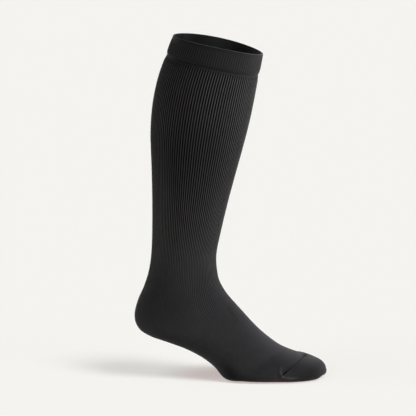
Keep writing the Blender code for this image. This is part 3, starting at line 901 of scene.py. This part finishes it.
def knit_finish(name, yarn_colour, roughness, sheen, relief):
    """V stitches along the wales, a slight unevenness of dye and fibres, and a soft sheen."""
    material = bpy.data.materials.new(name)
    material.use_nodes = True
    made = draw_stitch(material)
    stitch = add_node(
        material, "ShaderNodeBump",
        values={"Strength": 1.0, "Distance": relief}, links={"Height": made["yarn"]},
    )
    # the shade attribute mixes in the painted shade and painted light of each point
    depth = add_node(material, "ShaderNodeAttribute", {"attribute_name": "shade"})
    colour = add_node(
        material, "ShaderNodeMix", {"data_type": "RGBA"},
        {"A": linear(yarn_colour), "B": linear(GROOVE_YARN)}, {"Factor": depth.outputs["Fac"]},
    )
    tint = add_node(
        material, "ShaderNodeHueSaturation",
        links={"Color": colour.outputs["Result"], "Value": made["brightness"]},
    )
    shader = material.node_tree.nodes["Principled BSDF"]
    material.node_tree.links.new(tint.outputs[0], shader.inputs["Base Color"])
    material.node_tree.links.new(stitch.outputs[0], shader.inputs["Normal"])
    for socket, value in {
        "Roughness": roughness, "IOR": 1.53, "Specular IOR Level": 0.05,
        "Sheen Weight": sheen, "Sheen Roughness": 0.34, "Sheen Tint": linear(SHEEN_TINT),
    }.items():
        shader.inputs[socket].default_value = value
    print(name, "roughness", roughness, "sheen", sheen)
    return material


# %% The three knits: ribbed on the leg, plain on the foot, and reversed on the band
# On the band the pale colour is darkened everywhere by its tone, and comes nearest to showing where painted
# light lifts the inside in front.
YARN, FOOT_YARN, REVERSE_YARN = "#545354", "#545356", "#707072"
ribbed_knit = knit_finish("ribbed_nylon_knit", YARN, roughness=0.72, sheen=0.18, relief=0.10 * MM)
plain_knit = knit_finish("plain_nylon_knit", FOOT_YARN, roughness=0.75, sheen=0.15, relief=0.08 * MM)
band_knit = knit_finish("double_band_knit", REVERSE_YARN, roughness=0.78, sheen=0.14, relief=0.06 * MM)

# %% [markdown]
# ## The linking thread
#
# The thread is plied nylon, smoother than the knit. Its twist is a wave that runs slantwise, as a fine
# bump. Two plies could be modelled as twisted tubes, but the thread is a third of a millimetre thick, so
# the bump is enough.

# %% The thread's finish
THREAD_YARN = "#222224"
TWIST_SCALE = 1400.0      # about four ridges a millimetre along the slant
TWIST_DEPTH = 0.04 * MM
thread = bpy.data.materials.new("linking_thread")
thread.use_nodes = True
thread_place = add_node(thread, "ShaderNodeTexCoord").outputs["Object"]
twist = add_node(
    thread, "ShaderNodeTexWave", {"bands_direction": "DIAGONAL"},
    {"Scale": TWIST_SCALE}, {"Vector": thread_place},
)
twist_bump = add_node(
    thread, "ShaderNodeBump",
    values={"Strength": 0.6, "Distance": TWIST_DEPTH}, links={"Height": twist.outputs[1]},
)
thread_shader = thread.node_tree.nodes["Principled BSDF"]
thread.node_tree.links.new(twist_bump.outputs[0], thread_shader.inputs["Normal"])
for socket, value in {"Base Color": linear(THREAD_YARN), "Roughness": 0.6, "Sheen Weight": 0.1}.items():
    thread_shader.inputs[socket].default_value = value
print("the thread is", 2.0 * THREAD, "mm thick")

# %% Dress the pieces
finishes = ((leg, ribbed_knit), (foot, plain_knit), (toe, plain_knit), (welt, band_knit), (one_loop, thread))
for piece, finish in finishes:
    piece.data.materials.clear()
    piece.data.materials.append(finish)
    print(piece.name, "is", finish.name)

# %% [markdown]
# ## What each piece stands for
#
# Every piece rides on the one body and replaces its own solid. A stocking is cut smaller than the leg
# it holds, which is what presses, so the relaxed size of each piece is worked out too: about 0.82 of the
# girth that it is stretched to here.

# %% Bodies and nodes
for piece, node, slot in (
    (leg, "leg", "ribbed_knit"), (foot, "foot", "plain_knit"),
    (toe, "toe", "plain_knit"), (welt, "welt", "band_knit"),
):
    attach(piece, "root")
    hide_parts(node)
    print(piece.name, "replaces", node)
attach(one_loop, "root")

# %% The relaxed size of each piece
RELAXED = 0.82            # the relaxed girth as a share of the girth it is held at
girths = pitch * RIBS


def relaxed_size(first, last):
    """Widest relaxed girth, mean length and relaxed area, in metres, of some rows of the tube."""
    rows = slice(first, last + 1)
    lengths = np.diff(along[rows].mean(axis=1))
    area = (0.5 * (girths[rows][1:] + girths[rows][:-1]) * lengths).sum()
    return RELAXED * girths[rows].max() * MM, lengths.sum() * MM, RELAXED * area * MM * MM


for piece, first, last, extra in (
    (leg, 0, leg_last, []), (foot, leg_last, SEAM_ROW, []), (toe, SEAM_ROW, toe_last, [one_loop])
):
    width, length, area = relaxed_size(first, last)
    print(piece.name, "cut", round(width, 3), "by", round(length, 3), "area", round(area, 4))

# %% [markdown]
# ## The floor and the backdrop
#
# A pale floor runs into a backdrop of the same tone. A studio uses a curved paper sweep. A wide flat
# floor and a glowing sphere far behind it give the same even tone from every side, with no curve to
# catch a shadow. The floor glows a little too, so the shadow on it stays pale.

# %% A matt paint that glows
def glowing_paint(name, base, glow):
    """A paint with no gloss, of a grey base, that gives some light of its own."""
    paint = bpy.data.materials.new(name)
    paint.use_nodes = True
    for socket, value in {
        "Base Color": (base, base, base, 1.0), "Roughness": 1.0, "Specular IOR Level": 0.0,
        "Emission Color": glow, "Emission Strength": 1.0,
    }.items():
        paint.node_tree.nodes["Principled BSDF"].inputs[socket].default_value = value
    print(name, "glows by", [round(value, 3) for value in glow])
    return paint


# %% The floor
FLOOR_PAINT = 0.50
FLOOR_GLOW = (0.513, 0.444, 0.427, 1.0)         # a little warm, to balance a greenish lamp
FLOOR_RADIUS, FLOOR_GAP = 14.0, 0.0002
bpy.ops.object.select_all(action="DESELECT")
bpy.ops.mesh.primitive_circle_add(
    vertices=96, radius=FLOOR_RADIUS, fill_type="NGON", location=(0.0, 0.0, FLOOR_Z - FLOOR_GAP)
)
floor = bpy.context.object
floor.name = "studio_floor"
bpy.ops.object.transform_apply(location=True, rotation=True, scale=True)
floor.data.materials.append(glowing_paint("matt_floor_paint", FLOOR_PAINT, FLOOR_GLOW))
print("the floor is at", round(FLOOR_Z - FLOOR_GAP, 4))

# %% The backdrop, seen only by the camera
BACKDROP_TONE = "#f4f3ef"
BACKDROP_RADIUS = 40.0
bpy.ops.mesh.primitive_uv_sphere_add(segments=32, ring_count=16, radius=BACKDROP_RADIUS)
backdrop = bpy.context.object
backdrop.name = "studio_backdrop"
backdrop.data.materials.append(glowing_paint("lit_backdrop", 0.0, linear(BACKDROP_TONE)))
for way in ("visible_diffuse", "visible_glossy", "visible_shadow", "visible_transmission"):
    setattr(backdrop, way, False)
print("the backdrop is", BACKDROP_TONE)

# %% [markdown]
# ## The lamps
#
# Wide soft lamps stand on the right and behind, so that both edges of the dark knit catch a sheen. Two
# lamps of their own light the floor and lay the foot's soft shadow on it, one of them greenish, so that
# the shadow it leaves is faintly pink. All are as far away as the sun, which keeps the floor even to its
# edges. A black stocking needs far more light than a pale floor, so each lamp lights only its own group.

# %% A lamp, and the groups that it lights
def far_lamp(name, side, height, strength, spread, lit, casting=None):
    """A lamp as far away as the sun. Its bearing in degrees goes from the toe's side round to the
    camera's. It lights the pieces in lit, and only those in casting throw its shadow."""
    side, height = math.radians(side), math.radians(height)
    toward = Vector((math.cos(height) * math.cos(side), -math.cos(height) * math.sin(side), math.sin(height)))
    bpy.ops.object.light_add(type="SUN", location=2.0 * toward)
    lamp = bpy.context.object
    lamp.name = name
    lamp.rotation_euler = toward.to_track_quat("Z", "Y").to_euler()
    lamp.data.energy = strength
    lamp.data.angle = math.radians(spread)
    lamp.light_linking.receiver_collection = lit
    if casting:
        lamp.light_linking.blocker_collection = casting
    return lamp


def piece_group(name, pieces):
    """A collection of pieces, for a lamp to light or to cast the shadow of."""
    group = bpy.data.collections.new(name)
    for piece in pieces:
        group.objects.link(piece)
    return group


on_floor = piece_group("on_floor", [floor])
on_stocking = piece_group("on_stocking", [leg, foot, toe, welt, one_loop])
whole_foot = piece_group("whole_foot", [foot, toe])
behind_toe = piece_group("behind_toe", [foot])
print("the lamps light", on_floor.name, "and", on_stocking.name)

# %% Two lamps for the floor and five for the stocking
GREENISH = (0.74, 1.09, 1.00)

# Name, bearing, height, strength, spread, what it lights and, where it isn't all, what casts its shadow.
far_lamp("floor_right", 40.0, 45.0, 2.03, 28.0, on_floor, whole_foot)
floor_left = far_lamp("floor_left", 160.0, 52.0, 1.40, 36.0, on_floor, behind_toe)
floor_left.data.color = GREENISH
far_lamp("right_softbox", 0.0, 20.0, 1.7, 70.0, on_stocking)
far_lamp("right_lamp", 20.0, 25.0, 1.4, 30.0, on_stocking)
far_lamp("back_softbox", -90.0, 20.0, 2.3, 70.0, on_stocking)
far_lamp("right_rim", -30.0, 10.0, 2.3, 30.0, on_stocking)
far_lamp("left_rim", -150.0, 10.0, 0.8, 30.0, on_stocking)

# %% A faint even light from all round
SKY_LIGHT = 0.07
world = bpy.data.worlds.new("studio")
bpy.context.scene.world = world
world.use_nodes = True
sky = world.node_tree.nodes["Background"]
sky.inputs["Color"].default_value = (1.0, 1.0, 1.0, 1.0)
sky.inputs["Strength"].default_value = SKY_LIGHT
print("the light from all round is", SKY_LIGHT)

# %% [markdown]
# ## The camera
#
# A long lens from a few metres away keeps the leg's two sides nearly parallel, as in a catalogue. It
# looks down by about ten degrees, which opens the top of the stocking to the view.

# %% The camera
CAMERA_FAR = 4.2
CAMERA_UP = math.radians(9.8)
CAMERA_LENS = 298.0
TARGET = Vector((-0.01245, 0.0, -0.2010))
back = Vector((0.0, -math.cos(CAMERA_UP), math.sin(CAMERA_UP)))
bpy.ops.object.camera_add(location=TARGET + CAMERA_FAR * back)
camera = bpy.context.object
camera.rotation_euler = back.to_track_quat("Z", "Y").to_euler()
camera.data.lens = CAMERA_LENS
camera.data.sensor_width = 36.0
camera.data.clip_end = 100.0
bpy.context.scene.camera = camera
bpy.context.scene.view_settings.view_transform = "Standard"
print("camera at", [round(v, 4) for v in camera.location])
